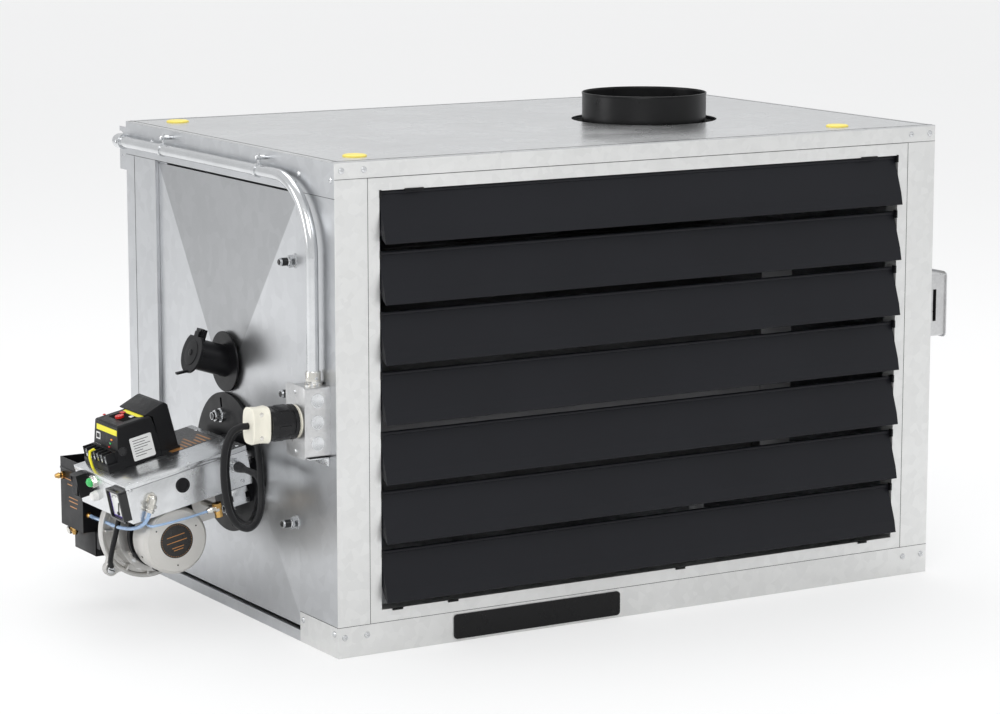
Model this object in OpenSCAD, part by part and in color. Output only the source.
// Waste oil heater: a galvanised cabinet with a louvred front, a round
// combustion chamber inside, a tilted oil burner on the left end and a fan
// at the back. The origin is the centre of the cabinet's underside, the
// louvres face -Y and the burner is on the -X side.

/* [Cabinet] */
// Width of the cabinet across the louvres
cab_w = 1090; // [1000:10:1300]
// Depth of the cabinet from front to back
cab_d = 725; // [660:5:860]
// Height of the cabinet
cab_h = 735; // [720:5:860]
// Thickness of the cabinet sheet
sheet = 1.5; // [1:0.1:2]
// Height of the rail above the louvres
top_rail_h = 26; // [20:1:40]
// Height of the rail below the louvres
bottom_rail_h = 46; // [40:1:60]
// Width of the posts beside the louvres
post_w = 54; // [40:1:80]
// Depth of the folded returns of the rails and posts
return_d = 22; // [14:1:30]
// Height of the rail above the burner end panel
end_rail_h = 54; // [40:1:60]
// Width of the stile in front of the burner end panel
front_stile_w = 122; // [100:1:130]
// Width of the stile behind the burner end panel
rear_stile_w = 111; // [90:1:120]
// Height of the upturned edge of the base pan
pan_lip_h = 17; // [12:1:24]
// How far the burner end panel lies behind the stiles
panel_recess = 6; // [5:0.5:9]
// How far the crossed creases raise the panel's centre
panel_rise = 7; // [3:0.5:7]
// Dark gap above and below the burner end panel
panel_gap = 4; // [2:0.5:8]

/* [Louvres] */
// Number of blades
blade_count = 7; // [7:1:7]
// Width of the louvre frame's face
frame_face = 19; // [14:1:30]
// Depth of the louvre frame
frame_depth = 30; // [26:1:45]
// Length of a blade from its pivot to its crease
blade_main = 58; // [45:1:62]
// Length of the lip below the crease
blade_lip = 19; // [10:1:22]
// Thickness of a blade
blade_t = 1.5; // [1:0.1:2]
// How far the blades stand open
blade_tilt = 20; // [18:1:30]
// Angle of the lip from upright
lip_tilt = 12; // [8:1:20]
// Radius of a blade's pivot rod
pivot_r = 3; // [2:0.1:3.5]

/* [Flue and chamber] */
// Outer diameter of the flue collar
flue_d = 203; // [150:1:230]
// Height of the flue collar above the cabinet
flue_h = 43.5; // [30:0.5:90]
// Place of the flue to the right of the centre
flue_x = 204; // [150:1:220]
// Place of the flue behind the centre
flue_y = -30; // [-40:1:0]
// Diameter of the hole round the flue
flue_hole_d = 238; // [232:1:260]
// Radius of the combustion chamber
chamber_r = 190; // [180:1:196]
// Height of the chamber's axis
chamber_z = 290; // [270:1:300]
// Wall of the chamber
chamber_wall = 5; // [3:0.5:8]
// Outer radius of an exchanger tube
tube_r = 30; // [20:1:34]

/* [Burner] */
// Height of the burner flange's centre
burner_z = 236; // [225:1:245]
// Place of the burner in front of or behind the centre
burner_y = -10; // [-20:1:0]
// Angle by which the burner hangs down at its outer end
burner_tilt = 12; // [6:1:13]
// Diameter of the burner flange
flange_d = 217; // [200:1:217]
// Radius of the air tube
air_tube_r = 42; // [36:1:43]
// Length of the burner's deck
deck_l = 205; // [200:1:240]
// Width of the burner's deck
deck_w = 190; // [186:1:220]
// Height of the burner's deck
deck_h = 60; // [54:1:70]
// Radius of the motor's can
can_r = 52; // [44:1:54]
// Depth of the motor's can
can_l = 45; // [30:1:50]
// Radius of the cast ring round the blower
scroll_r = 77; // [74:1:80]
// Radius of the blower's body
blower_r = 62; // [58:1:66]
// Width of the blower's body
scroll_w = 60; // [54:1:62]

/* [Sight port] */
// Diameter of the sight port's flange
sight_flange_d = 94; // [80:1:94]
// Outer radius of the sight tube
sight_r = 24; // [18:1:26]
// Length of the sight tube outside the panel
sight_l = 57; // [45:1:80]
// Angle by which the sight tube rises at its outer end
sight_tilt = 18; // [10:1:20]
// Radius of the sight port's lid
lid_r = 32; // [30:1:36]

/* [Wiring] */
// Outer radius of the conduit
pipe_r = 9; // [8:0.5:11]
// Radius of the conduit's bend
bend_r = 112; // [90:1:130]
// Distance from the cabinet to the conduit's centre
pipe_off = 14; // [12:1:18]
// Distance from the cabinet's top to the conduit's level run
pipe_drop = 31; // [29:1:39]
// Height of a device box
box_h = 102; // [90:1:110]
// Width of a device box
box_w = 54; // [50:1:58]
// Depth of a device box
box_d = 42; // [38:1:54]
// Height of the plug box's centre
plug_box_z = 354; // [350:1:356]
// Height of the switch box's centre
switch_box_z = 438; // [420:1:450]
// Diameter of the power cord
cord_d = 10; // [9:0.5:11]

/* [Rear fan] */
// Radius of the opening for the fan
fan_hole_r = 232; // [200:1:240]
// Radius of the fan
fan_r = 222; // [190:1:224]
// Height of the fan's axis
fan_z = 372; // [360:1:380]
// Number of fan blades
fan_blades = 5; // [3:1:7]
// Pitch of a fan blade
fan_pitch = 28; // [20:1:32]

/* [Hidden] */
$fn = 64;

// Shared clearances
fit = 0.3;
run_gap = 1.5;
cut = 1;

// Planes of the cabinet
left_x = -cab_w / 2;
right_x = cab_w / 2;
front_y = -cab_d / 2;
back_y = cab_d / 2;
top_z = cab_h - sheet;
panel_y0 = front_y + front_stile_w;
panel_y1 = back_y - rear_stile_w;
panel_z0 = pan_lip_h + panel_gap;
panel_z1 = cab_h - end_rail_h;
panel_x = left_x + panel_recess;
panel_back_x = panel_x + sheet;
lip_lap = 30;
pan_edge_h = 24;

// Burner and sight port seats
chamber_in = 45;
chamber_x0 = left_x + chamber_in;
chamber_x1 = 330;
flange_t = 4;
flange_out = 7;
flange_x = left_x - flange_out;
sight_y = -4;
sight_z = burner_z + (flange_d + sight_flange_d) / 2 + run_gap;
sight_flange_t = 3;
sight_out = 4;
sight_x = left_x - sight_out;

module span(lo, hi) {
    translate(lo) cube(hi - lo);
}

// Cylinders that start at the origin and run along +X or +Y
module along_x(r, l) {
    rotate([0, 90, 0]) cylinder(r = r, h = l);
}

module along_y(r, l) {
    rotate([-90, 0, 0]) cylinder(r = r, h = l);
}

module at_burner() {
    translate([flange_x, burner_y, burner_z])
        rotate([0, -burner_tilt, 0]) children();
}

module at_sight() {
    translate([sight_x, sight_y, sight_z])
        rotate([0, sight_tilt, 0]) children();
}

// A slab in the YZ plane with rounded corners, centred, growing along -X
module round_slab_x(w, h, t, r) {
    for (sy = [-1, 1]) for (sz = [-1, 1])
        translate([-t, sy * (w / 2 - r), sz * (h / 2 - r)]) along_x(r, t);
    span([-t, -w / 2 + r, -h / 2], [0, w / 2 - r, h / 2]);
    span([-t, -w / 2, -h / 2 + r], [0, w / 2, h / 2 - r]);
}

// Tube swept along points, with square ends
function unit(v) = v / norm(v);
function tangent(p, i) =
    i == 0 ? unit(p[1] - p[0])
    : i >= len(p) - 1 ? unit(p[len(p) - 1] - p[len(p) - 2])
    : unit(unit(p[i + 1] - p[i]) + unit(p[i] - p[i - 1]));
function carry(n, t) = unit(n - (n * t) * t);
function side_normals(p, first) = [
    for (i = 0, n = carry(first, tangent(p, 0));
         i < len(p);
         i = i + 1, n = carry(n, tangent(p, i))) n
];
function tube_points(p, r, sides, first) =
    let (ns = side_normals(p, first))
    [for (i = [0 : len(p) - 1]) for (k = [0 : sides - 1])
        let (a = 360 * k / sides, t = tangent(p, i))
        p[i] + r * (cos(a) * ns[i] + sin(a) * cross(t, ns[i]))];
function tube_faces(n, sides) = concat(
    [[for (k = [0 : sides - 1]) k]],
    [for (i = [0 : n - 2]) for (k = [0 : sides - 1])
        let (a = i * sides + k, b = i * sides + (k + 1) % sides)
        each [[a, a + sides, b], [b, a + sides, b + sides]]],
    [[for (k = [sides - 1 : -1 : 0]) (n - 1) * sides + k]]
);
module swept_tube(p, r, sides, first) {
    polyhedron(tube_points(p, r, sides, first), tube_faces(len(p), sides));
}

// Cabinet shell
module base_pan() {
    color("lightgray") {
        span([left_x + sheet, front_y + sheet, 0],
             [right_x - sheet, back_y - sheet, sheet]);
        span([left_x, panel_y0, 0], [left_x + sheet, panel_y1, pan_lip_h]);
        span([left_x, panel_y0, pan_lip_h - sheet],
             [panel_back_x, panel_y1, pan_lip_h]);
        span([right_x - 2 * sheet, front_y + sheet, 0],
             [right_x - sheet, back_y - sheet, pan_edge_h]);
        span([left_x + sheet, back_y - 2 * sheet, 0],
             [right_x - sheet, back_y - sheet, pan_edge_h]);
        span([left_x + sheet, front_y + sheet, 0],
             [right_x - sheet, front_y + 2 * sheet, pan_edge_h]);
    }
}

top_flange_h = 15;
module top_panel() {
    color("gainsboro") difference() {
        union() {
            span([left_x, front_y, top_z], [right_x, back_y, cab_h]);
            span([left_x + sheet, front_y + sheet, top_z - top_flange_h],
                 [left_x + 2 * sheet, back_y - sheet, top_z]);
            span([right_x - 2 * sheet, front_y + sheet, top_z - top_flange_h],
                 [right_x - sheet, back_y - sheet, top_z]);
        }
        translate([flue_x, flue_y, top_z - cut])
            cylinder(d = flue_hole_d, h = sheet + 2 * cut);
    }
}

module front_top_rail() {
    z = cab_h - top_rail_h;
    color("whitesmoke") {
        span([left_x, front_y, z], [right_x, front_y + sheet, top_z]);
        span([left_x + post_w, front_y, z],
             [right_x - post_w, front_y + return_d, z + sheet]);
    }
}

module front_bottom_rail() {
    color("whitesmoke") {
        span([left_x, front_y, 0], [right_x, front_y + sheet, bottom_rail_h]);
        span([left_x, front_y, 0], [left_x + sheet, panel_y0, bottom_rail_h]);
        span([right_x - sheet, front_y, 0], [right_x, panel_y0, bottom_rail_h]);
        span([left_x + post_w, front_y, bottom_rail_h - sheet],
             [right_x - post_w, front_y + return_d, bottom_rail_h]);
    }
}

module front_post() {
    z1 = cab_h - top_rail_h;
    color("whitesmoke") {
        span([left_x, front_y, bottom_rail_h],
             [left_x + post_w, front_y + sheet, z1]);
        span([left_x + post_w - sheet, front_y, bottom_rail_h],
             [left_x + post_w, front_y + return_d, z1]);
    }
}
module front_left_post() { front_post(); }
module front_right_post() { mirror([1, 0, 0]) front_post(); }

// A stile with the fold that carries the edge of the end panel
module stile(y_out, y_in, z0, lap) {
    lo = min(y_out, y_in);
    hi = max(y_out, y_in);
    dir = sign(y_in - y_out);
    fold_lo = min(y_in, y_in - dir * sheet);
    fold_hi = max(y_in, y_in - dir * sheet);
    lap_lo = min(y_in - dir * sheet, y_in + dir * lap);
    lap_hi = max(y_in - dir * sheet, y_in + dir * lap);
    span([left_x, lo, z0], [left_x + sheet, hi, panel_z1]);
    span([left_x, fold_lo, z0], [panel_back_x + sheet, fold_hi, panel_z1]);
    span([panel_back_x, lap_lo, z0], [panel_back_x + sheet, lap_hi, panel_z1]);
}

module left_end_frame() {
    color("lightgray") {
        span([left_x, front_y + sheet, panel_z1],
             [left_x + sheet, back_y - sheet, top_z]);
        span([left_x, panel_y0 - sheet, panel_z1],
             [panel_back_x + sheet, panel_y1 + sheet, panel_z1 + sheet]);
        stile(front_y + sheet, panel_y0, bottom_rail_h, lip_lap);
        difference() {
            stile(back_y - sheet, panel_y1, 0, lip_lap);
            span([left_x - cut, panel_y0, -cut],
                 [panel_back_x + sheet + cut, panel_y1, pan_lip_h]);
            span([left_x + sheet, panel_y0, -cut],
                 [panel_back_x + sheet + cut, back_y, sheet]);
        }
    }
}

// Sheet with two crossed creases that meet at a raised centre
module creased_sheet(y0, y1, z0, z1, x, rise, t) {
    ring = [[y0, z0], [y1, z0], [y1, z1], [y0, z1]];
    mid = [(y0 + y1) / 2, (z0 + z1) / 2];
    outer = [for (c = ring) [x, c[0], c[1]]];
    inner = [for (c = ring) [x + t, c[0], c[1]]];
    points = concat(outer, inner,
        [[x - rise, mid[0], mid[1]], [x + t - rise, mid[0], mid[1]]]);
    fan_out = [for (i = [0 : 3]) [8, (i + 1) % 4, i]];
    fan_in = [for (i = [0 : 3]) [9, 4 + i, 4 + (i + 1) % 4]];
    rim = [for (i = [0 : 3]) let (j = (i + 1) % 4)
        each [[i, j, 4 + j], [i, 4 + j, 4 + i]]];
    polyhedron(points, concat(fan_out, fan_in, rim));
}

stud_r = 5;
stud_share = [0.24, 0.54, 0.84];
stud_inset = 16;
washer_r = 11;
stud_rise = panel_rise * 2 * (stud_inset + washer_r) / (panel_y1 - panel_y0);
bolt_ring_r = 73;
bolt_angles = [75, 165, 255, 345];
module burner_bolt_places() {
    for (a = bolt_angles)
        translate([flange_x, burner_y + bolt_ring_r * cos(a),
                   burner_z + bolt_ring_r * sin(a)]) children();
}

module burner_end_panel() {
    side_gap = 0.5;
    color("silver") difference() {
        creased_sheet(panel_y0 + side_gap, panel_y1 - side_gap,
            panel_z0, panel_z1 - panel_gap, panel_x, panel_rise, sheet);
        at_burner() translate([-flange_d / 2, 0, 0])
            along_x(air_tube_r + run_gap, flange_d);
        at_sight() translate([-sight_l, 0, 0])
            along_x(sight_r + run_gap, 2 * sight_l);
        for (s = stud_share)
            translate([panel_x - panel_rise, panel_y0 + stud_inset,
                       panel_z0 + s * (panel_z1 - panel_z0)])
                along_x(stud_r + fit, 2 * panel_rise);
        burner_bolt_places() along_x(stud_r + run_gap, chamber_x0 - flange_x);
    }
}

module right_end_panel() {
    color("lightgray") difference() {
        span([right_x - sheet, front_y + sheet, 0],
             [right_x, back_y - sheet, top_z]);
        span([right_x - sheet - cut, front_y, -cut],
             [right_x + cut, panel_y0, bottom_rail_h]);
    }
}

tab_w = 25;
tab_h = 70;
tab_foot = 20;
tab_drop = 10;
tab_hole_r = 2.5;
venturi_l = 30;
module rear_panel() {
    tab_z = cab_h - tab_h - tab_drop;
    color("lightgray") {
        difference() {
            span([left_x, back_y - sheet, 0], [right_x, back_y, top_z]);
            translate([0, back_y - sheet - cut, fan_z])
                along_y(fan_hole_r, sheet + 2 * cut);
        }
        translate([0, back_y - venturi_l, fan_z]) difference() {
            along_y(fan_hole_r + sheet, venturi_l);
            translate([0, -cut, 0]) along_y(fan_hole_r, venturi_l + 2 * cut);
        }
        for (s = [-1, 1]) scale([s, 1, 1]) difference() {
            union() {
                span([right_x - sheet, back_y, tab_z],
                     [right_x, back_y + tab_w, tab_z + tab_h]);
                span([right_x - tab_foot, back_y, tab_z],
                     [right_x, back_y + sheet, tab_z + tab_h]);
            }
            translate([right_x - sheet - cut, back_y + tab_w / 2,
                       tab_z + tab_h / 3])
                along_x(tab_hole_r, sheet + 2 * cut);
            translate([right_x - tab_foot - cut, pipe_back_y, pipe_z])
                along_x(pipe_r + 3 * run_gap, tab_foot + 2 * cut);
        }
    }
}

// Louvres
open_x = cab_w / 2 - post_w - fit - frame_face;
open_z0 = bottom_rail_h + fit + frame_face;
open_z1 = cab_h - top_rail_h - fit - frame_face;
blade_pitch = (open_z1 - open_z0) / blade_count;
pivot_in = 8;
pivot_y = front_y + pivot_in;
pivot_drop = 4;
pivot_reach = 6;
module louvre_frame() {
    outer_x = open_x + frame_face;
    color("whitesmoke") difference() {
        span([-outer_x, front_y, open_z0 - frame_face],
             [outer_x, front_y + frame_depth, open_z1 + frame_face]);
        span([-open_x, front_y - cut, open_z0],
             [open_x, front_y + frame_depth + cut, open_z1]);
        difference() {
            span([-outer_x + sheet, front_y + sheet,
                  open_z0 - frame_face + sheet],
                 [outer_x - sheet, front_y + frame_depth + cut,
                  open_z1 + frame_face - sheet]);
            span([-open_x - sheet, front_y, open_z0 - sheet],
                 [open_x + sheet, front_y + frame_depth + 2 * cut,
                  open_z1 + sheet]);
        }
        for (i = [0 : blade_count - 1])
            translate([-outer_x, pivot_y, blade_z(i)])
                along_x(pivot_r + fit, 2 * outer_x);
    }
}
function blade_z(i) = open_z1 - pivot_drop - i * blade_pitch;

module louvre_blade(i) {
    half = open_x - run_gap;
    main_end = [-blade_main * sin(blade_tilt), -blade_main * cos(blade_tilt)];
    lip_end = main_end + [-blade_lip * sin(lip_tilt), -blade_lip * cos(lip_tilt)];
    back = [blade_t * cos(blade_tilt), -blade_t * sin(blade_tilt)];
    tab_back = [blade_lip / 2, blade_lip / 3];
    color("dimgray") translate([0, pivot_y, blade_z(i)]) {
        rotate([90, 0, 90]) translate([0, 0, -half]) {
            linear_extrude(2 * half)
                polygon([[0, 0], main_end, lip_end, lip_end + back,
                         main_end + back, back]);
            for (z = [0, 2 * half - blade_t]) translate([0, 0, z])
                linear_extrude(blade_t)
                    polygon([[0, 0], main_end, lip_end, lip_end + tab_back,
                             main_end + 2 * tab_back]);
        }
        translate([-half - pivot_reach, 0, 0])
            along_x(pivot_r, 2 * (half + pivot_reach));
    }
}
module louvre_blade_1() { louvre_blade(0); }
module louvre_blade_2() { louvre_blade(1); }
module louvre_blade_3() { louvre_blade(2); }
module louvre_blade_4() { louvre_blade(3); }
module louvre_blade_5() { louvre_blade(4); }
module louvre_blade_6() { louvre_blade(5); }
module louvre_blade_7() { louvre_blade(6); }

plate_w = 296;
plate_h = 38;
plate_t = 2;
plate_r = 6;
plate_x = -201;
module name_plate() {
    color("black") translate([plate_x, front_y, bottom_rail_h / 2])
        rotate([0, 0, 90]) round_slab_x(plate_w, plate_h, plate_t, plate_r);
}

screw_r = 4.6;
screw_h = 2.6;
screw_edge = 11;
screw_in = 48;
module screw_head() {
    cylinder(r1 = screw_r, r2 = screw_r * 0.6, h = screw_h);
}
module cabinet_screws() {
    rail_top = cab_h - top_rail_h / 2;
    rail_low = bottom_rail_h * 2 / 3;
    color("silver") {
        for (s = [-1, 1]) for (x = [cab_w / 2 - screw_edge, cab_w / 2 - screw_in])
            for (z = [rail_top, rail_low])
                translate([s * x, front_y, z]) rotate([90, 0, 0]) screw_head();
        for (y = [front_y + screw_edge, panel_y0 - screw_edge,
                  panel_y1 + screw_edge])
            translate([left_x, y, cab_h - end_rail_h / 2])
                rotate([0, -90, 0]) screw_head();
        for (y = [front_y + screw_edge, panel_y0 - screw_edge])
            for (s = [-1, 1]) translate([s * right_x, y, rail_low + screw_r])
                rotate([0, s * 90, 0]) screw_head();
        for (y = [front_y + screw_edge, 0, back_y - 2 * screw_in])
            translate([right_x, y, cab_h - end_rail_h / 2])
                rotate([0, 90, 0]) screw_head();
        for (s = [-1, 1]) for (z = [screw_in, cab_h / 2, cab_h - screw_in])
            translate([s * (right_x - 4 * screw_in), back_y, z])
                rotate([-90, 0, 0]) screw_head();
    }
}

cap_r = 18;
cap_h = 3;
cap_y = 303;
cap_xs = [-480, 394];
module hanging_caps() {
    color("gold") for (x = cap_xs) for (s = [-1, 1])
        translate([x, s * cap_y, cab_h]) {
            cylinder(r = cap_r, h = cap_h * 0.6);
            translate([0, 0, cap_h * 0.6])
                cylinder(r1 = cap_r, r2 = cap_r * 0.86, h = cap_h * 0.4);
        }
}

// Combustion chamber and exchanger
flue_wall = 1.5;
box_wall = 3;
header_rim = 12;
header_over = 2;
tube_gap = 20;
row_gap = 92;
tube_pitch = (chamber_r + header_over - tube_r - header_rim) / 2;
row_low_z = chamber_z + chamber_r + tube_r + tube_gap;
row_high_z = row_low_z + row_gap;
flue_box_rise = 38;
flue_box_z1 = row_high_z + flue_box_rise;
flue_box_z0 = flue_box_z1 - 2 * tube_r - header_rim - box_wall;
flue_box_half = 110;
header_l = 60;
tubes_in = 80;
tubes_x0 = chamber_x0 + tubes_in;
header_y = chamber_r + header_over;
tube_wall = 3;
module flue_collar() {
    color("black") translate([flue_x, flue_y, flue_box_z1]) difference() {
        cylinder(d = flue_d, h = cab_h + flue_h - flue_box_z1);
        translate([0, 0, -cut])
            cylinder(d = flue_d - 2 * flue_wall,
                     h = cab_h + flue_h - flue_box_z1 + 2 * cut);
    }
}

module combustion_chamber() {
    color("slategray") difference() {
        translate([chamber_x0, 0, chamber_z])
            along_x(chamber_r, chamber_x1 - chamber_x0);
        translate([chamber_x0 + chamber_wall, 0, chamber_z])
            along_x(chamber_r - chamber_wall, chamber_x1 - chamber_x0);
        at_burner() translate([-flange_d / 2, 0, 0])
            along_x(air_tube_r + run_gap, flange_d);
        at_sight() translate([-sight_l, 0, 0])
            along_x(sight_r - 2 * sheet, 3 * sight_l);
    }
}

function tube_ys() = [for (i = [-2 : 2]) i * tube_pitch];
module exchanger_tubes() {
    color("slategray")
        for (row = [[row_low_z, chamber_x1], [row_high_z, flue_x - flue_box_half]])
            for (y = tube_ys()) translate([tubes_x0, y, row[0]]) difference() {
                along_x(tube_r, row[1] - tubes_x0);
                translate([-cut, 0, 0])
                    along_x(tube_r - tube_wall, row[1] - tubes_x0 + 2 * cut);
            }
}

module header_box(lo, hi) {
    wall = box_wall * [1, 1, 1];
    difference() {
        span(lo, hi);
        span(lo + wall, hi - wall);
        children();
    }
}
module tube_holes(x, z) {
    for (y = tube_ys()) translate([x - 2 * box_wall, y, z])
        along_x(tube_r - tube_wall, 4 * box_wall);
}
module exchanger_headers() {
    low = row_low_z - tube_r - header_rim;
    high = row_high_z + tube_r + header_rim;
    color("slategray") {
        header_box([chamber_x1, -header_y, chamber_z - chamber_r + header_l],
                   [chamber_x1 + header_l, header_y, row_low_z + tube_r + header_rim]) {
            tube_holes(chamber_x1, row_low_z);
            translate([chamber_x1 - cut, 0, chamber_z])
                along_x(chamber_r - header_l, box_wall + 2 * cut);
        }
        header_box([tubes_x0 - header_l, -header_y, low],
                   [tubes_x0, header_y, high]) {
            tube_holes(tubes_x0, row_low_z);
            tube_holes(tubes_x0, row_high_z);
        }
        header_box([flue_x - flue_box_half, -header_y, flue_box_z0],
                   [flue_x + flue_box_half, header_y, flue_box_z1]) {
            tube_holes(flue_x - flue_box_half, row_high_z);
            translate([flue_x, flue_y, flue_box_z1 - box_wall - cut])
                cylinder(d = flue_d - 2 * flue_wall, h = box_wall + 2 * cut);
        }
    }
}

target_r = 130;
target_t = 25;
target_x = 270;
target_foot = 60;
module flame_target() {
    bed = chamber_z - chamber_r + chamber_wall + 2 * run_gap;
    color("tan") {
        translate([target_x, 0, chamber_z]) along_x(target_r, target_t);
        span([target_x, -target_foot / 2, bed],
             [target_x + target_t, target_foot / 2, chamber_z - target_r / 2]);
    }
}

saddle_w = 30;
saddle_half = 120;
saddle_xs = [-400, 240];
module chamber_saddles() {
    color("darkgray") for (x = saddle_xs) difference() {
        span([x, -saddle_half, sheet],
             [x + saddle_w, saddle_half, chamber_z - chamber_r + saddle_w]);
        translate([x - cut, 0, chamber_z])
            along_x(chamber_r + fit, saddle_w + 2 * cut);
    }
}

// Studs of the end panel and of the burner flange
washer_t = 2;
nut_d = 19;
nut_t = 9;
stud_cap_r = 6;
stud_cap_l = 15;
flange_cap_l = 5;
module stud_set(seat_x, root_x, cap_l) {
    nut_x = seat_x - washer_t - nut_t;
    translate([root_x, 0, 0]) rotate([0, 180, 0])
        along_x(stud_r, root_x - nut_x);
    translate([seat_x - washer_t, 0, 0]) along_x(washer_r, washer_t);
    translate([nut_x, 0, 0]) rotate([0, 90, 0])
        cylinder(d = nut_d, h = nut_t, $fn = 6);
    translate([nut_x - cap_l, 0, 0]) along_x(stud_cap_r, cap_l);
}
module stud_hardware() {
    color("silver") {
        for (s = stud_share)
            translate([0, panel_y0 + stud_inset,
                       panel_z0 + s * (panel_z1 - panel_z0)])
                stud_set(panel_x - stud_rise - fit / 2, panel_back_x, stud_cap_l);
        burner_bolt_places() translate([-flange_x, 0, 0])
            stud_set(flange_x, chamber_x0, flange_cap_l);
    }
}

// Sight port
lid_t = 3.5;
lid_pin_r = 2.5;
lid_pin_in = 3.5;
lid_pin_up = 10;
lid_ear_t = 4;
lid_ear_y = 9;
lid_ear_d = 8;
lid_knuckle_t = 3;
lid_pin_z = sight_r + lid_pin_up;
lid_tail_l = 20;
lid_tail_tilt = 115;
module sight_port() {
    color("black") difference() {
        union() {
            translate([sight_x, sight_y, sight_z])
                rotate([0, -90, 0]) cylinder(d = sight_flange_d, h = sight_flange_t);
            difference() {
                at_sight() translate([-sight_l, 0, 0]) along_x(sight_r, 3 * sight_l);
                span([chamber_x0, -sight_flange_d, 0],
                     [chamber_x0 + 3 * sight_l, sight_flange_d, cab_h]);
            }
            at_sight() for (s = [-1, 1])
                translate([-sight_l, s * lid_ear_y - lid_ear_t / 2, 0])
                    cube([lid_ear_d, lid_ear_t, lid_pin_z + 2 * lid_pin_r]);
            at_sight() translate([-sight_l + lid_pin_in,
                                  -lid_ear_y - lid_ear_t, lid_pin_z])
                along_y(lid_pin_r, 2 * (lid_ear_y + lid_ear_t));
        }
        at_sight() translate([-sight_l - cut, 0, 0])
            along_x(sight_r - 2 * sheet, 4 * sight_l);
    }
}

module sight_lid() {
    knuckle = lid_ear_y - lid_ear_t / 2 - fit;
    color("black") at_sight() translate([-sight_l - fit, 0, 0]) {
        difference() {
            union() {
                difference() {
                    rotate([0, -90, 0]) cylinder(r = lid_r, h = lid_t);
                    span([-lid_t - cut, -lid_r, lid_pin_z - lid_ear_d],
                         [cut, lid_r, lid_r + cut]);
                }
                span([-lid_t, -knuckle, 0], [0, knuckle, lid_pin_z]);
                translate([lid_pin_in + fit, -knuckle, lid_pin_z])
                    along_y(lid_pin_r + lid_knuckle_t, 2 * knuckle);
            }
            translate([lid_pin_in + fit, -knuckle - cut, lid_pin_z])
                along_y(lid_pin_r + fit, 2 * (knuckle + cut));
        }
        translate([0, -knuckle / 2, -lid_r + lid_t / 2]) rotate([0, -lid_tail_tilt, 0])
            cube([lid_t, knuckle, lid_tail_l]);
    }
}

// Burner: everything below hangs on the flange and shares its tilt
slot_w = 6;
slot_l = 15;
slot_r = 85;
slot_turn = 4;
bracket_l = 46;
bracket_y = -86;
bracket_z0 = -45;
bracket_z1 = -18.5;
module burner_flange() {
    color("black") difference() {
        translate([flange_x, burner_y, burner_z])
            along_x(flange_d / 2, flange_t);
        at_burner() translate([-flange_d / 2, 0, 0])
            along_x(air_tube_r + fit, flange_d);
        burner_bolt_places() translate([-cut, 0, 0])
            along_x(stud_r + fit, flange_t + 2 * cut);
        for (a = bolt_angles)
            translate([flange_x - cut, burner_y, burner_z]) rotate([a + slot_turn, 0, 0])
                translate([0, slot_r, -slot_w / 2])
                    cube([flange_t + 2 * cut, slot_l, slot_w]);
    }
    color("silver") difference() {
        at_burner() span([-bracket_l, bracket_y, bracket_z0],
            [bracket_l, bracket_y + 2 * sheet, bracket_z1]);
        translate([flange_x, burner_y - flange_d, burner_z - flange_d])
            cube(2 * flange_d);
    }
}

deck_x1 = -5;
deck_x0 = deck_x1 - deck_l;
deck_z1 = 45;
deck_z0 = deck_z1 - deck_h;
deck_y = deck_w / 2;
axis_x = -146;
axis_z = -64;
scroll_y0 = -15;
scroll_y1 = scroll_y0 + scroll_w;
scroll_wall = 5;
body_r = 46;
neck_gap = 8;
neck_x = axis_x + body_r + neck_gap;
air_tube_out = 72;
air_tube_in = 118;
tube_t = 2;
grommet_r = 10;
grommet_x = -119;
grommet_z = 18;
module air_tube() {
    color("black") at_burner() translate([-air_tube_out, 0, 0]) difference() {
        along_x(air_tube_r, air_tube_out + air_tube_in);
        translate([-cut, 0, 0])
            along_x(air_tube_r - tube_t, air_tube_out + air_tube_in + 2 * cut);
    }
}

head_t = 3;
nozzle_r = 9;
line_r = 4;
electrode_r = 3;
electrode_y = 14;
head_in = 24;
module nozzle_assembly() {
    head_x = air_tube_in - head_in;
    color("goldenrod") at_burner() {
        difference() {
            translate([head_x, 0, 0])
                along_x(air_tube_r - tube_t - fit, head_t);
            for (a = [0 : 60 : 300]) rotate([a, 0, 0])
                translate([head_x - cut, nozzle_r * 2, -line_r / 2])
                    cube([head_t + 2 * cut, nozzle_r * 2, line_r]);
        }
        translate([head_x - 4 * nozzle_r, 0, 0]) along_x(nozzle_r, 4 * nozzle_r);
        translate([-air_tube_out, 0, 0])
            along_x(line_r, air_tube_out + head_x - 3 * nozzle_r);
        for (s = [-1, 1]) translate([0, s * electrode_y, electrode_y])
            along_x(electrode_r, head_x);
    }
}

module burner_deck() {
    t = sheet;
    color("lightgray") at_burner() difference() {
        span([deck_x0, -deck_y, deck_z0], [deck_x1, deck_y, deck_z1]);
        span([deck_x0 + t, -deck_y + t, deck_z0 - cut],
             [deck_x1 + cut, deck_y - t, deck_z1 - t]);
        for (hole = [[grommet_x, grommet_z, grommet_r], [elbow_x, elbow_z, elbow_hole_r]])
            translate([hole[0], -deck_y - cut, hole[1]])
                along_y(hole[2], t + 2 * cut);
        translate([axis_x, ring_y0 - run_gap, axis_z])
            along_y(scroll_r + run_gap, ring_w + 2 * run_gap);
    }
}

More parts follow.
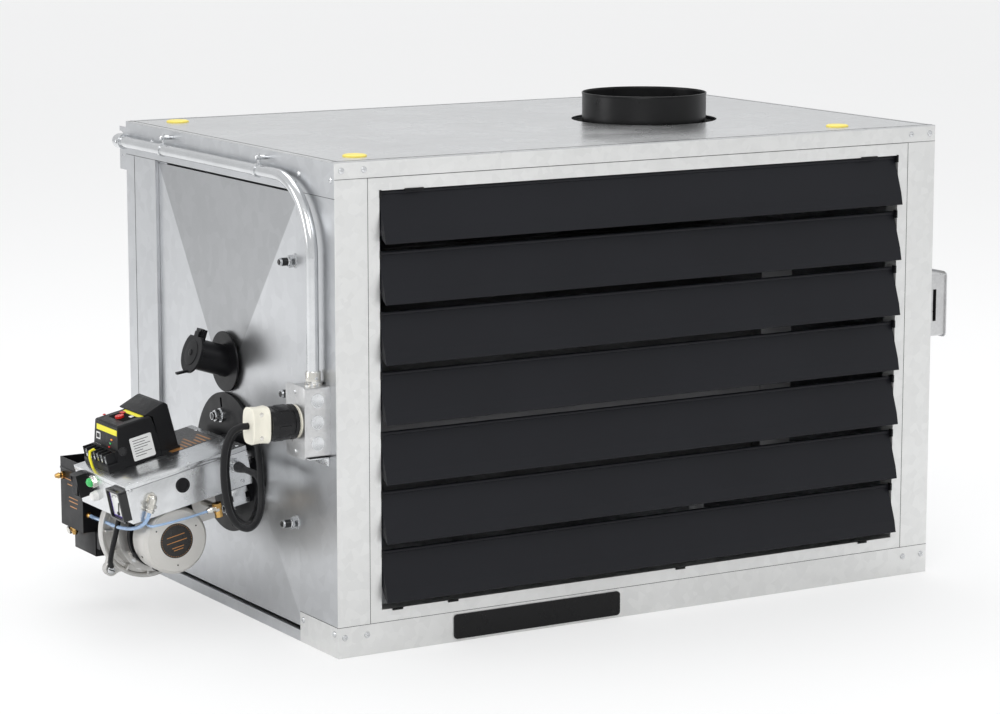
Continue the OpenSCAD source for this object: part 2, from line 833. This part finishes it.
grip_x = -30;
grip_z = 21;
grip_r = 8.5;
grip_l = 14;
grip_nut_h = 4;
grip_nut_rim = 3;
module cord_grip() {
    color("silver") at_burner() translate([grip_x, -deck_y - grip_l, grip_z]) {
        along_y(grip_r, grip_l);
        translate([0, grip_l - grip_nut_h, 0]) rotate([-90, 0, 0])
            cylinder(r = grip_r + grip_nut_rim, h = grip_nut_h, $fn = 6);
        span([-grip_r - grip_nut_rim, grip_nut_h / 4, -grip_nut_h / 2],
             [grip_r + grip_nut_rim, grip_l / 2, grip_nut_h / 2]);
    }
}

// Controls on the deck
ctl_x0 = -195;
ctl_x1 = -104;
ctl_y0 = -6;
ctl_y1 = 86;
ctl_h = 65;
ctl_base_h = 12;
ctl_taper = 5;
ctl_slope = 12;
button_r = 7;
button_h = 4;
button_travel = 2.5;
module control_housing() {
    z0 = deck_z1;
    z1 = deck_z1 + ctl_h;
    color("black") at_burner() difference() {
        union() {
            span([ctl_x0, ctl_y0, z0], [ctl_x1, ctl_y1, z0 + ctl_base_h]);
            hull() {
                span([ctl_x0 + terminal_d, ctl_y0, z0 + ctl_base_h - sheet],
                     [ctl_x1, ctl_y1, z0 + ctl_base_h]);
                span([ctl_x0 + terminal_d + ctl_slope, ctl_y0 + ctl_taper,
                      z1 - sheet],
                     [ctl_x1 - ctl_taper, ctl_y1 - ctl_taper, z1]);
            }
        }
        translate([button_x, button_y, z1 - button_h - button_travel])
            cylinder(r = button_r + fit, h = ctl_h);
    }
}
terminal_d = 18;
terminal_h = 12;
terminal_gap = 4;
button_x = (ctl_x0 + terminal_d + ctl_slope + ctl_x1) / 2 - button_r;
button_y = (ctl_y0 + ctl_y1) / 2;
module control_terminals() {
    z = deck_z1 + ctl_base_h;
    inset = terminal_gap;
    count = 6;
    step = (ctl_y1 - ctl_y0 - 2 * inset) / count;
    color("silver") at_burner() {
        difference() {
            span([ctl_x0 + inset / 2, ctl_y0 + inset, z],
                 [ctl_x0 + terminal_d - inset / 2, ctl_y1 - inset,
                  z + terminal_h]);
            for (i = [0 : count - 1])
                span([ctl_x0, ctl_y0 + inset + (i + 0.15) * step,
                      z + terminal_h / 2],
                     [ctl_x0 + terminal_d - inset, ctl_y0 + inset
                      + (i + 0.85) * step, z + terminal_h + cut]);
        }
        for (i = [0 : count - 1])
            translate([ctl_x0 + terminal_d / 2,
                       ctl_y0 + inset + (i + 0.5) * step, z + terminal_h / 2])
                cylinder(r = step / 4, h = terminal_h / 4);
    }
}

module reset_button() {
    color("red") at_burner()
        translate([button_x, button_y, deck_z1 + ctl_h - button_h])
            cylinder(r = button_r, h = 2 * button_h);
}

ign_x0 = ctl_x1 + run_gap;
ign_x1 = -72;
ign_y0 = 2;
ign_y1 = 94;
ign_h = 77;
ign_chamfer = 14;
module igniter_housing() {
    shape = [[ign_y0, 0], [ign_y1, 0], [ign_y1, ign_h - ign_chamfer],
             [ign_y1 - ign_chamfer, ign_h], [ign_y0 + ign_chamfer / 2, ign_h],
             [ign_y0, ign_h - ign_chamfer]];
    color("black") at_burner() translate([ign_x0, 0, deck_z1])
        rotate([90, 0, 90]) linear_extrude(ign_x1 - ign_x0) polygon(shape);
}

// Switch, lamps and gauge on the deck's end face
rocker_y = 64;
rocker_z = 22;
rocker_w = 24;
rocker_h = 36;
rocker_t = 4;
rocker_body_l = 18;
rocker_wall = 2.5;
rocker_pin_r = 2;
rocker_peak = 3;
module rocker_body() {
    iy = rocker_w / 2 - rocker_wall;
    iz = rocker_h / 2 - rocker_wall;
    color("black") at_burner() translate([deck_x0, rocker_y, rocker_z])
        difference() {
            span([-rocker_body_l, -rocker_w / 2, -rocker_h / 2],
                 [0, rocker_w / 2, rocker_h / 2]);
            span([-rocker_body_l - cut, -iy, -iz], [-rocker_t, iy, iz]);
            translate([-rocker_body_l + rocker_pin_r * 3, -iy - rocker_wall / 2, 0])
                along_y(rocker_pin_r + fit, 2 * iy + rocker_wall);
        }
}
module rocker_button() {
    iy = rocker_w / 2 - rocker_wall - fit;
    iz = rocker_h / 2 - rocker_wall - 2 * fit;
    color("dimgray") at_burner() translate([deck_x0, rocker_y, rocker_z])
        translate([-rocker_body_l + rocker_pin_r * 3, 0, 0]) {
            translate([0, iy, 0]) rotate([90, 0, 0]) linear_extrude(2 * iy)
                polygon([[-3 * rocker_pin_r - rocker_peak, -iz * 0.8],
                         [-2 * rocker_pin_r, iz * 0.93],
                         [rocker_pin_r, iz / 3], [rocker_pin_r, -iz / 3]]);
            translate([0, -iy - rocker_wall / 2 + fit, 0])
                along_y(rocker_pin_r, 2 * iy + rocker_wall - 2 * fit);
        }
}

lamp_y = 31;
lamp_z = 30;
lamp_r = 8;
knob_y = 28;
knob_z = 8;
knob_r = 7;
bezel_w = 2;
bezel_t = 3;
module indicator_lamps() {
    color("green") at_burner() translate([deck_x0, lamp_y, lamp_z])
        rotate([0, -90, 0]) {
            cylinder(r = lamp_r + bezel_w, h = bezel_t, $fn = 6);
            translate([0, 0, bezel_t]) cylinder(r = lamp_r, h = lamp_r * 0.8);
        }
    color("white") at_burner() translate([deck_x0, knob_y, knob_z])
        rotate([0, -90, 0]) {
            cylinder(r = knob_r + bezel_w / 2, h = bezel_t);
            translate([0, 0, bezel_t]) cylinder(r = knob_r, h = knob_r);
        }
}

gauge_w = 48;
gauge_t = 13;
gauge_y = -deck_y + gauge_w / 2;
gauge_z = (deck_z0 + deck_z1) / 2;
gauge_rim = 4;
dial_depth = 4;
needle_l = 20;
needle_w = 1.6;
needle_t = 0.8;
hub_r = 3;
hub_drop = 14;
module gauge_body() {
    face = gauge_w / 2 - gauge_rim;
    color("black") at_burner() translate([deck_x0, gauge_y, gauge_z])
        difference() {
            round_slab_x(gauge_w, gauge_w, gauge_t, gauge_rim);
            span([-gauge_t - cut, -face, -face],
                 [-gauge_t + dial_depth, face, face]);
        }
}
module gauge_needle() {
    color("red") at_burner()
        translate([deck_x0 - gauge_t + dial_depth, gauge_y, gauge_z - hub_drop])
            rotate([0, -90, 0]) translate([0, 0, fit / 2]) {
                cylinder(r = hub_r, h = dial_depth / 2);
                rotate([0, 0, needle_rest])
                    translate([0, -needle_w / 2, dial_depth / 8])
                        cube([needle_l, needle_w, needle_t]);
            }
}
needle_rest = -25;

// Oil preheater beside the deck
pre_out = 195;
pre_w = 96;
pre_l = 85;
pre_gap = 17;
pre_drop = 113;
pre_h = 108;
pre_x0 = flange_x - pre_out;
pre_x1 = pre_x0 + pre_w;
pre_y0 = burner_y + deck_y + pre_gap;
pre_y1 = pre_y0 + pre_l;
pre_z0 = burner_z - pre_drop;
pre_z1 = pre_z0 + pre_h;
pre_lip = 16;
shelf_t = 4;
shelf_h = 26;
shelf_in = 20;
shelf_y0 = 18;
shelf_y1 = 8;
module preheater_box() {
    color("black") {
        span([pre_x0, pre_y0, pre_z0], [pre_x1, pre_y1, pre_z1 - pre_lip]);
        difference() {
            span([pre_x0, pre_y0, pre_z1 - pre_lip], [pre_x1, pre_y1, pre_z1]);
            span([pre_x0 + sheet, pre_y0 + sheet, pre_z1 - pre_lip],
                 [pre_x1 - sheet, pre_y1 - sheet, pre_z1 + cut]);
        }
        span([pre_x0 + shelf_in, pre_y0 - shelf_y0, pre_z0 - shelf_t],
             [pre_x1, pre_y1 - shelf_y1, pre_z0]);
        span([pre_x0 + shelf_in, pre_y0 - shelf_y0, pre_z0 - shelf_h],
             [pre_x0 + shelf_in + shelf_t, pre_y1 - shelf_y1, pre_z0 - shelf_t]);
    }
}

// Fittings for the oil and air lines
elbow_x = -174;
elbow_z = 15;
elbow_r = 6;
elbow_hole_r = 8;
elbow_lean = 30;
elbow_drop = 21;
barb_r = 5;
barb_l = 15;
port_in = 14;
port_drop = 12;
port_y = pre_y1 - port_in;
port_z = pre_z1 - pre_lip - port_drop;
top_port_y = pre_y0 + 3 * port_in;
drain_in = 12;
out_in = 9;
out_up = 28;
tee_x = -72;
tee_y = -96;
tee_z = -34;
tee_l = 18;
tee_nut_l = 10;
neck_y = air_tube_r + scroll_wall;
elbow_y = -deck_y - 1.5 * elbow_r;
elbow_tip = [elbow_x - elbow_drop * sin(elbow_lean), elbow_y,
             elbow_z - elbow_drop * cos(elbow_lean)];
module fitting(r, l) {
    cylinder(r = r * 1.25, h = l * 0.3, $fn = 6);
    translate([0, 0, l * 0.3]) cylinder(r = r * 0.8, h = l * 0.3);
    translate([0, 0, l * 0.6]) cylinder(r1 = r, r2 = r * 0.6, h = l * 0.4);
}
module oil_fittings() {
    color("goldenrod") {
        translate([pre_x0, port_y, port_z]) rotate([0, -90, 0])
            fitting(barb_r, barb_l);
        translate([(pre_x0 + pre_x1) / 2 - port_in, top_port_y, pre_z1 - pre_lip])
            fitting(barb_r * 1.5, 2 * barb_l);
        translate([pre_x0 + drain_in, pre_y1 - 2 * drain_in, pre_z0])
            rotate([180, 0, 0]) fitting(barb_r * 1.2, barb_l);
        translate([pre_x0 + out_in, pre_y0, pre_z0 + out_up]) rotate([90, 0, 0])
            fitting(barb_r * 0.8, barb_l * 0.7);
    }
    color("silver") at_burner() {
        translate([elbow_x, elbow_y, elbow_z]) {
            along_y(elbow_r, 1.5 * elbow_r + 3 * sheet);
            sphere(r = elbow_r);
            rotate([0, elbow_lean, 0]) translate([0, 0, -elbow_drop])
                cylinder(r = elbow_r, h = elbow_drop);
        }
        translate([tee_x, tee_y, tee_z]) {
            along_y(barb_r, -neck_y - tee_y);
            rotate([0, -90, 0]) fitting(barb_r * 1.2, tee_l);
            translate([0, tee_nut_l, 0]) rotate([90, 0, 0])
                cylinder(r = barb_r * 1.5, h = tee_nut_l, $fn = 6);
        }
    }
}

// The oil tube, the thin air tube and the motor's lead, held at both ends
function bezier(a, b, c, d, n) = [for (i = [0 : n]) let (t = i / n, u = 1 - t)
    u * u * u * a + 3 * u * u * t * b + 3 * u * t * t * c + t * t * t * d];
function from_burner(p) = [
    flange_x + p[0] * cos(burner_tilt) - p[2] * sin(burner_tilt), burner_y + p[1],
    burner_z + p[0] * sin(burner_tilt) + p[2] * cos(burner_tilt)];
feed_r = 3;
feed_mid = [-210, -34];
feed_pull = 34;
air_r = 2;
line_reach = 28;
line_turn = [20, -12, 0];
lead_r = 4;
lead_y = -35;
lead_in = 14;
lead_drop = [0, 0, 66];
lead_bow = [-14, -26, 24];
lead_end = [-218, -103];
stub = 4;
module feed_tube() {
    lean = elbow_lean - burner_tilt;
    up = [sin(lean), 0, cos(lean)];
    start = [pre_x0 + out_in, pre_y0 - barb_l * 0.7 - fit / 2, pre_z0 + out_up];
    middle = from_burner([feed_mid[0], 0, feed_mid[1]]);
    end = from_burner(elbow_tip) - fit / 2 * up;
    pull = [0, feed_pull, 0];
    first = bezier(start - [0, stub, 0], start - pull / 2, middle + pull, middle, 8);
    second = bezier(middle, middle - pull, end - feed_pull * up,
        end - stub * up, 8);
    swept_tube(concat([start], first, [for (i = [1 : 8]) second[i]], [end]),
        feed_r, 8, [0, 0, 1]);
}
module air_line() {
    start = [deck_x0 + sheet + fit / 2, gauge_y, gauge_z];
    middle = [axis_x - can_r * 2 / 3, -deck_y - 2 * air_r, deck_z0 - deck_h / 5];
    end = [tee_x - tee_l - fit / 2, tee_y, tee_z];
    reach = [line_reach, 0, 0];
    ahead = [stub, 0, 0];
    first = bezier(start + ahead, start + reach, middle - line_turn, middle, 7);
    second = bezier(middle, middle + line_turn, end - reach, end - ahead, 7);
    at_burner()
        swept_tube(concat([start], first, [for (i = [1 : 7]) second[i]], [end]),
            air_r, 8, [0, 0, 1]);
}
module motor_lead() {
    start = [deck_x0 + lead_in, lead_y, deck_z1 - sheet - fit / 2];
    end = [lead_end[0], ring_y0 - fit / 2, lead_end[1]];
    down = [0, 0, stub];
    inward = [0, stub, 0];
    at_burner() swept_tube(concat([start],
        bezier(start - down, start - lead_drop, end + lead_bow, end - inward, 12),
        [end]),
        lead_r, 8, [0, 1, 0]);
}
module burner_lines() {
    color("lightskyblue") {
        feed_tube();
        air_line();
    }
    color("black") motor_lead();
}

// Blower, motor and air shutter on one axis
ear_r = 11;
ear_angle = 32;
ear_out = 7;
ring_y0 = 18;
inlet_r = 34;
ring_w = 10;
shutter_r = 50;
shutter_t = 2;
port_r = 8;
port_ring_r = 23;
window_w = 8;
window_l = 24;
window_in = 3;
window_angles = [50, 80, 110, 140, 205];
module blower_housing() {
    inner = [scroll_y0 + scroll_wall, scroll_y1 - scroll_wall];
    duct_z1 = deck_z1 - sheet - fit;
    neck_x1 = -air_tube_out + 2 * ring_w;
    color("silver") at_burner() difference() {
        union() {
            translate([axis_x, scroll_y0, axis_z]) along_y(blower_r, scroll_w);
            translate([axis_x, ring_y0, axis_z]) along_y(scroll_r, ring_w);
            for (s = [-1, 1])
                translate([axis_x + s * (scroll_r + ear_out) * cos(ear_angle),
                           ring_y0,
                           axis_z + s * (scroll_r + ear_out) * sin(ear_angle)])
                    along_y(ear_r, ring_w);
            span([axis_x, scroll_y0, axis_z], [neck_x, scroll_y1, duct_z1]);
            span([neck_x, -neck_y, axis_z], [neck_x1, neck_y, duct_z1]);
        }
        translate([axis_x, inner[0], axis_z])
            along_y(blower_r - scroll_wall, inner[1] - inner[0]);
        span([axis_x, inner[0], axis_z],
             [neck_x + 2 * scroll_wall, inner[1], duct_z1 - scroll_wall]);
        span([neck_x + scroll_wall, -neck_y + scroll_wall, axis_z + scroll_wall],
             [-air_tube_out - scroll_wall, neck_y - scroll_wall,
              duct_z1 - scroll_wall]);
        translate([axis_x, scroll_y0 - cut, axis_z])
            along_y(shaft_r + run_gap, 2 * scroll_wall);
        translate([axis_x, scroll_y1 - 2 * scroll_wall, axis_z])
            along_y(inlet_r, 3 * scroll_wall);
        for (a = window_angles) translate([axis_x, 0, axis_z]) rotate([0, a, 0])
            translate([blower_r + window_in, ring_y0 - cut, -window_l / 2])
                cube([window_w, ring_w + 2 * cut, window_l]);
        translate([-air_tube_out, 0, 0]) along_x(air_tube_r + fit / 2, 4 * ring_w);
        translate([-air_tube_out - 2 * scroll_wall, 0, 0])
            along_x(air_tube_r - tube_t, 4 * scroll_wall);
    }
}

shaft_r = 6;
wheel_gap = 4;
wheel_r = blower_r - scroll_wall - wheel_gap;
wheel_y0 = scroll_y0 + scroll_wall + wheel_gap;
wheel_l = scroll_w - 2 * (scroll_wall + wheel_gap);
wheel_plate = 3;
wheel_hub_l = 14;
vane_count = 18;
vane_t = 1.5;
vane_d = 12;
shaft_in = 26;
module blower_wheel() {
    color("gray") at_burner() translate([axis_x, wheel_y0, axis_z]) {
        along_y(wheel_r, wheel_plate);
        along_y(3 * shaft_r, wheel_hub_l);
        translate([0, -wheel_y0 + scroll_y0 - shaft_in, 0])
            along_y(shaft_r, wheel_y0 - scroll_y0 + shaft_in + cut);
        for (i = [0 : vane_count - 1]) rotate([0, 360 * i / vane_count, 0])
            translate([wheel_r - vane_d - vane_t, 0, -vane_t / 2])
                cube([vane_d, wheel_l, vane_t]);
        translate([0, wheel_l - wheel_plate, 0]) difference() {
            along_y(wheel_r, wheel_plate);
            translate([0, -cut, 0])
                along_y(wheel_r - vane_d - vane_t, wheel_plate + 2 * cut);
        }
    }
}

can_edge = 5;
can_gap = 30;
can_y0 = scroll_y0 - can_gap - can_l;
motor_ear_l = 8;
module burner_motor() {
    color("silver") at_burner() translate([axis_x, 0, axis_z]) difference() {
        union() {
            translate([0, can_y0, 0]) rotate([-90, 0, 0]) {
                cylinder(r1 = can_r - can_edge, r2 = can_r, h = can_edge);
                translate([0, 0, can_edge]) cylinder(r = can_r, h = can_l - can_edge);
            }
            translate([0, can_y0 + can_l, 0]) along_y(body_r, can_gap);
            for (a = [-ear_angle, 180 - ear_angle]) rotate([0, a, 0])
                translate([body_r - can_edge, scroll_y0 - ring_w / 2, -ear_r])
                    cube([can_edge + motor_ear_l, ring_w / 2, 2 * ear_r]);
        }
        translate([0, scroll_y0 - shaft_in - shutter_t, 0])
            along_y(shaft_r + fit, shaft_in + shutter_t + cut);
    }
}

module air_shutter() {
    color("dimgray") at_burner() translate([axis_x, scroll_y1 + fit, axis_z])
        difference() {
            along_y(shutter_r, shutter_t);
            for (a = [0 : 60 : 300]) rotate([0, a, 0])
                translate([port_ring_r, -cut, 0])
                    along_y(port_r, shutter_t + 2 * cut);
        }
}

// Conduit, device boxes, plug and cord
pipe_x = left_x - pipe_off;
pipe_back = 21;
pipe_z = cab_h - pipe_drop;
pipe_back_y = back_y + pipe_back;
box_y = -317;
elbow_bend = 24;
rear_box_in = 45;
rear_box_x0 = left_x + rear_box_in;
strap_ys = [187, -150];
strap_w = 7;
strap_t = 1.6;
strap_ear = 26;
connector_l = 20;
connector_rim = 3;
locknut_rim = 4;
locknut_t = 4;
module conduit(box_z) {
    run_y0 = box_y + bend_r;
    run_y1 = pipe_back_y - elbow_bend;
    low_z = box_z + box_h / 2;
    color("lightgray") {
        translate([pipe_x, box_y, low_z + connector_l])
            cylinder(r = pipe_r, h = pipe_z - bend_r - low_z - connector_l);
        translate([pipe_x, run_y0, pipe_z - bend_r]) rotate([0, -90, 0])
            rotate([0, 0, -90]) rotate_extrude(angle = 90)
                translate([bend_r, 0]) circle(r = pipe_r);
        translate([pipe_x, run_y0, pipe_z]) along_y(pipe_r, run_y1 - run_y0);
        translate([pipe_x + elbow_bend, run_y1, pipe_z]) rotate([0, 0, 90])
            rotate_extrude(angle = 90)
                translate([elbow_bend, 0]) circle(r = pipe_r);
        translate([pipe_x, run_y1 - connector_l - cut, pipe_z])
            along_y(pipe_r + connector_rim, connector_l);
        translate([pipe_x + elbow_bend, pipe_back_y, pipe_z])
            along_x(pipe_r, rear_box_x0 - pipe_x - elbow_bend);
        translate([rear_box_x0 - connector_l, pipe_back_y, pipe_z])
            along_x(pipe_r + connector_rim, connector_l);
        span([rear_box_x0, back_y, pipe_z - box_w / 2],
             [rear_box_x0 + box_h, back_y + box_d, pipe_z + box_w / 2]);
        translate([pipe_x, box_y, low_z]) {
            cylinder(r = pipe_r + locknut_rim, h = locknut_t);
            cylinder(r = pipe_r + connector_rim - cut, h = connector_l);
        }
        for (y = strap_ys) strap(y);
    }
}
module ring_y(ri, ro, l) {
    difference() {
        along_y(ro, l);
        translate([0, -cut, 0]) along_y(ri, l + 2 * cut);
    }
}
module strap(y) {
    translate([pipe_x, y, pipe_z]) along_y(pipe_r + strap_t, strap_w);
    span([pipe_x, y, pipe_z + pipe_r],
         [pipe_x + strap_t, y + strap_w, pipe_z + strap_ear]);
    translate([pipe_x - strap_w / 2, y + strap_w / 2, pipe_z + strap_ear - strap_w])
        along_x(strap_w / 2, pipe_off + strap_w / 2);
}
module conduit_left() { conduit(plug_box_z); }
module conduit_right() { mirror([1, 0, 0]) conduit(switch_box_z); }

cover_rim = 3;
knock_r = 11;
knock_groove = 1.2;
knock_deep = 0.5;
slide_w = 6;
cover_t = 1.5;
cover_hole_r = 4;
socket_r = 21;
socket_t = 4;
socket_in = 12;
socket_step = 4;
module device_box(z, knocks) {
    x = left_x;
    translate([0, box_y, z]) difference() {
        span([x - box_d, -box_w / 2, -box_h / 2], [x, box_w / 2, box_h / 2]);
        span([x - box_d - cut, -box_w / 2 + sheet, -box_h / 2 + sheet],
             [x - sheet, box_w / 2 - sheet, box_h / 2 - sheet]);
        if (knocks) for (i = [-1 : 1])
            translate([x - box_d / 2, -box_w / 2 - cut, i * box_h / 3.2])
                ring_y(knock_r - knock_groove, knock_r, knock_deep + cut);
        else span([x - box_d / 2 - slide_w / 2, -box_w / 2 - cut, -box_h / 4],
                  [x - box_d / 2 + slide_w / 2, -box_w / 2 + knock_deep, box_h / 4]);
    }
}
module box_cover(z, hole_r) {
    translate([left_x - box_d, box_y, z]) difference() {
        span([-cover_t, -box_w / 2 - cover_rim, -box_h / 2 - cover_rim],
             [0, box_w / 2 + cover_rim, box_h / 2 + cover_rim]);
        translate([-cover_t - cut, 0, 0]) along_x(hole_r, cover_t + 2 * cut);
    }
}
module plug_box() {
    wide_l = socket_t + cover_t + socket_in;
    color("lightgray") {
        device_box(plug_box_z, true);
        box_cover(plug_box_z, socket_r + fit);
    }
    color("black") translate([plug_x, box_y, plug_box_z]) {
        along_x(socket_r, wide_l);
        translate([wide_l, 0, 0])
            along_x(socket_r - socket_step, box_d - sheet - socket_in);
    }
}
module switch_box() {
    color("lightgray") mirror([1, 0, 0]) {
        device_box(switch_box_z, false);
        box_cover(switch_box_z, cover_hole_r);
    }
}

plug_r = 26;
plug_l = 44;
clamp_r = 27.5;
clamp_l = 29;
plug_x = left_x - box_d - cover_t - socket_t;
module plug() {
    color("black") translate([plug_x - plug_l, box_y, plug_box_z])
        along_x(plug_r, plug_l);
    color("white") translate([plug_x - plug_l - clamp_l, box_y, plug_box_z])
        along_x(clamp_r, clamp_l);
}

// The cord leaves the plug, makes two loose loops and ends at the deck's grip
cord_route = [[-665.6, -317, 354], [-679, -317, 353.6], [-691, -317, 348],
    [-700, -318, 334], [-705, -318, 315], [-706, -317, 292], [-704, -315, 268],
    [-699, -311, 246], [-691, -305, 226], [-679, -298, 209], [-664, -289, 198],
    [-647, -279, 193], [-630, -268, 198], [-618, -257, 212], [-612, -249, 233],
    [-610, -244, 256], [-609, -239, 280], [-608, -231, 302], [-608, -215, 318],
    [-610, -194, 324], [-614, -174, 317], [-618, -159, 299], [-620, -152, 277],
    [-621, -150, 253], [-620, -152, 232], [-619, -154, 212], [-617, -158, 194],
    [-613, -170, 181], [-607, -187, 176], [-602, -203, 181], [-599, -215, 194],
    [-597, -219, 212], [-594, -214, 231], [-590, -200, 245], [-587, -181, 250],
    [-585.7, -160, 250.3], [-585.7, -140, 250.3], [-585.7, -119, 250.3]];
module power_cord() {
    color("black") swept_tube(cord_route, cord_d / 2, 10, [0, 0, 1]);
}

// Rear fan
hub_fan_r = 38;
fan_hub_l = 34;
fan_in = 24;
fan_y = back_y - fan_in;
fan_blade_w = 120;
fan_blade_t = 2;
fan_root = 4;
fan_shaft_r = 8;
fan_shaft_l = 60;
motor_r = 62;
motor_l = 95;
motor_out = 26;
motor_y = back_y + motor_out;
module rear_fan() {
    color("silver") translate([0, fan_y, fan_z]) {
        translate([0, -fan_hub_l / 2, 0]) along_y(hub_fan_r, fan_hub_l);
        along_y(fan_shaft_r, fan_hub_l / 2 + fan_shaft_l);
        for (i = [0 : fan_blades - 1]) rotate([0, 360 * i / fan_blades, 0])
            intersection() {
                translate([hub_fan_r - fan_root, 0, 0]) rotate([fan_pitch, 0, 0])
                    translate([0, -fan_blade_t / 2, -fan_blade_w / 2])
                        cube([fan_r - hub_fan_r + fan_root, fan_blade_t, fan_blade_w]);
                translate([0, -fan_blade_w, 0]) along_y(fan_r, 2 * fan_blade_w);
            }
    }
}
module fan_motor() {
    color("dimgray") translate([0, motor_y, fan_z]) difference() {
        along_y(motor_r, motor_l);
        translate([0, -cut, 0])
            along_y(fan_shaft_r + fit, fan_shaft_l + cut);
    }
}

guard_wire = 4;
guard_stand = 34;
guard_y = back_y + guard_stand;
guard_out = 8;
guard_in = 34;
guard_count = 5;
guard_arm_w = 16;
module fan_guard() {
    arm_r = fan_hole_r + guard_out;
    ring_r0 = motor_r + guard_in;
    ring_step = (fan_hole_r - guard_out - ring_r0) / (guard_count - 1);
    color("dimgray") translate([0, 0, fan_z]) {
        for (i = [0 : guard_count - 1]) translate([0, guard_y, 0])
            ring_y(ring_r0 + i * ring_step - guard_wire / 2,
                ring_r0 + i * ring_step + guard_wire / 2, guard_wire);
        translate([0, back_y, 0])
            ring_y(fan_hole_r + guard_wire / 2,
                fan_hole_r + guard_wire / 2 + guard_arm_w, guard_wire);
        for (a = [45 : 90 : 315]) rotate([0, a, 0]) {
            span([motor_r + fit + guard_wire / 2, guard_y + guard_wire / 2,
                  -guard_arm_w / 2],
                 [arm_r + guard_wire, guard_y + 2 * guard_wire, guard_arm_w / 2]);
            span([arm_r, back_y + guard_wire / 2, -guard_arm_w / 2],
                 [arm_r + guard_wire, guard_y + guard_wire, guard_arm_w / 2]);
        }
        translate([0, guard_y + guard_wire, 0])
            ring_y(motor_r + fit, motor_r + fit + guard_wire, 3 * guard_wire);
    }
}

base_pan();
top_panel();
front_top_rail();
front_bottom_rail();
front_left_post();
front_right_post();
left_end_frame();
burner_end_panel();
right_end_panel();
rear_panel();
louvre_frame();
louvre_blade_1();
louvre_blade_2();
louvre_blade_3();
louvre_blade_4();
louvre_blade_5();
louvre_blade_6();
louvre_blade_7();
name_plate();
cabinet_screws();
hanging_caps();
flue_collar();
combustion_chamber();
exchanger_tubes();
exchanger_headers();
flame_target();
chamber_saddles();
stud_hardware();
sight_port();
sight_lid();
burner_flange();
air_tube();
nozzle_assembly();
burner_deck();
cord_grip();
control_housing();
control_terminals();
reset_button();
igniter_housing();
rocker_body();
rocker_button();
indicator_lamps();
gauge_body();
gauge_needle();
preheater_box();
oil_fittings();
burner_lines();
blower_housing();
blower_wheel();
burner_motor();
air_shutter();
conduit_left();
plug_box();
plug();
power_cord();
conduit_right();
switch_box();
fan_guard();
fan_motor();
rear_fan();
